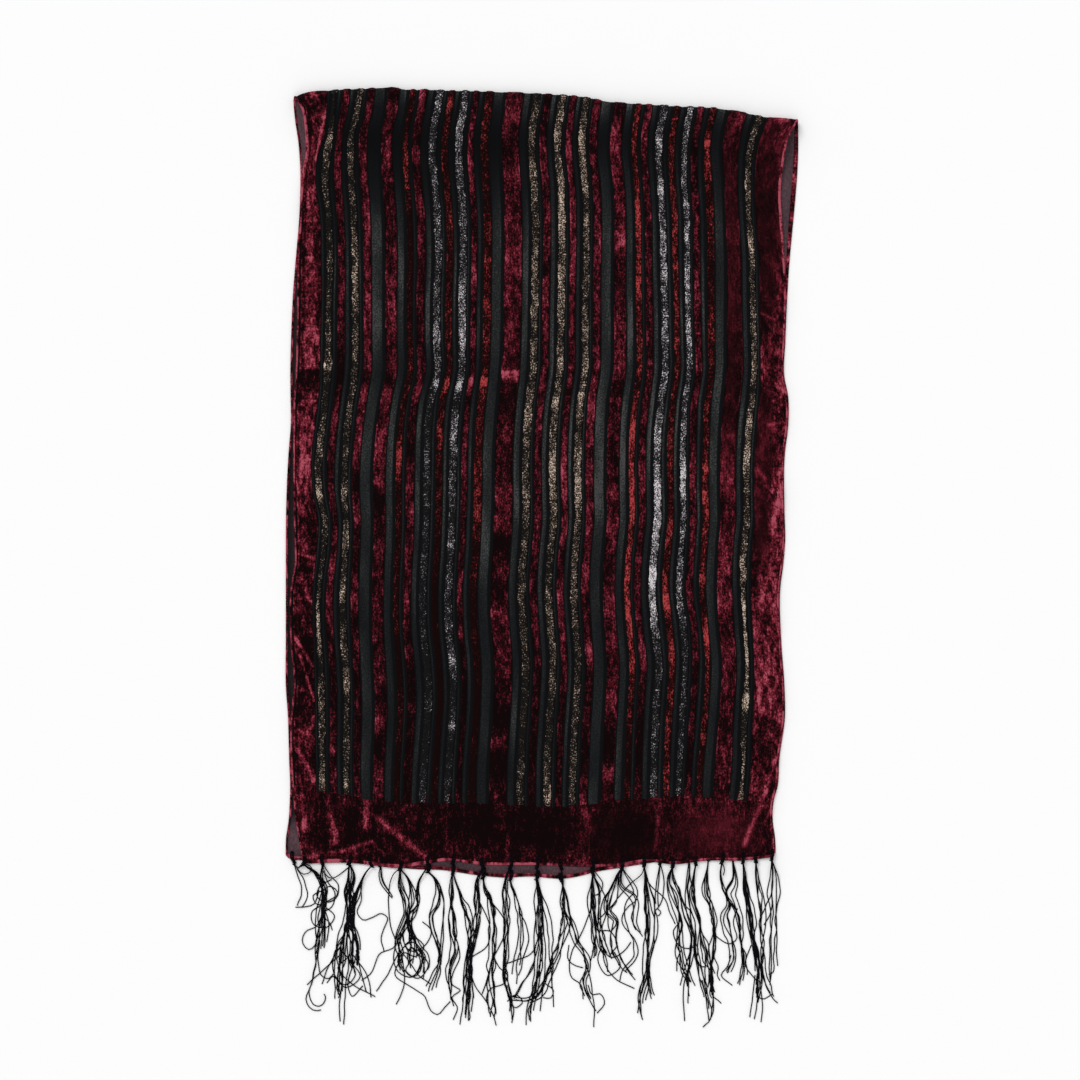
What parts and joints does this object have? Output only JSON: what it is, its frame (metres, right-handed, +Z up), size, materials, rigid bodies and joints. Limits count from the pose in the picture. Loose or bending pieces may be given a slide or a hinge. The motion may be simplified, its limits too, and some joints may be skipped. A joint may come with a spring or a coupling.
{
  "type": "velvet scarf",
  "caption": "Long burnt-out velvet scarf with lengthwise stripes and knotted yarn fringe, folded in half and lying flat on a surface.",
  "frame": {"origin": "on the surface that the scarf lies on, under the middle of its bounding box", "axes": "+X to the right across the scarf, +Y along it towards the fold, +Z up"},
  "size_m": [0.51, 0.9404, 0.0124],
  "materials": {
    "burgundy_velvet": "crushed burgundy velvet with gold, silver and red pile stripes between burnt-out black channels",
    "grey_wrong_side": "smooth dark grey satin-like wrong side of the velvet",
    "black_yarn": "twisted black viscose yarn"
  },
  "bodies": {
    "root": {"front_stretch": "burgundy_velvet", "back_stretch": "grey_wrong_side", "front_tassel_01": "black_yarn", "front_tassel_02": "black_yarn", "front_tassel_03": "black_yarn", "front_tassel_04": "black_yarn", "front_tassel_05": "black_yarn", "front_tassel_06": "black_yarn", "front_tassel_07": "black_yarn", "front_tassel_08": "black_yarn", "front_tassel_09": "black_yarn", "front_tassel_10": "black_yarn", "front_tassel_11": "black_yarn", "front_tassel_12": "black_yarn", "front_tassel_13": "black_yarn", "front_tassel_14": "black_yarn", "front_tassel_15": "black_yarn", "front_tassel_16": "black_yarn", "front_tassel_17": "black_yarn", "front_tassel_18": "black_yarn", "front_tassel_19": "black_yarn", "front_tassel_20": "black_yarn", "back_tassel_01": "black_yarn", "back_tassel_02": "black_yarn", "back_tassel_03": "black_yarn", "back_tassel_04": "black_yarn", "back_tassel_05": "black_yarn", "back_tassel_06": "black_yarn", "back_tassel_07": "black_yarn", "back_tassel_08": "black_yarn", "back_tassel_09": "black_yarn", "back_tassel_10": "black_yarn", "back_tassel_11": "black_yarn", "back_tassel_12": "black_yarn", "back_tassel_13": "black_yarn", "back_tassel_14": "black_yarn", "back_tassel_15": "black_yarn", "back_tassel_16": "black_yarn", "back_tassel_17": "black_yarn"}
  },
  "joints": []
}
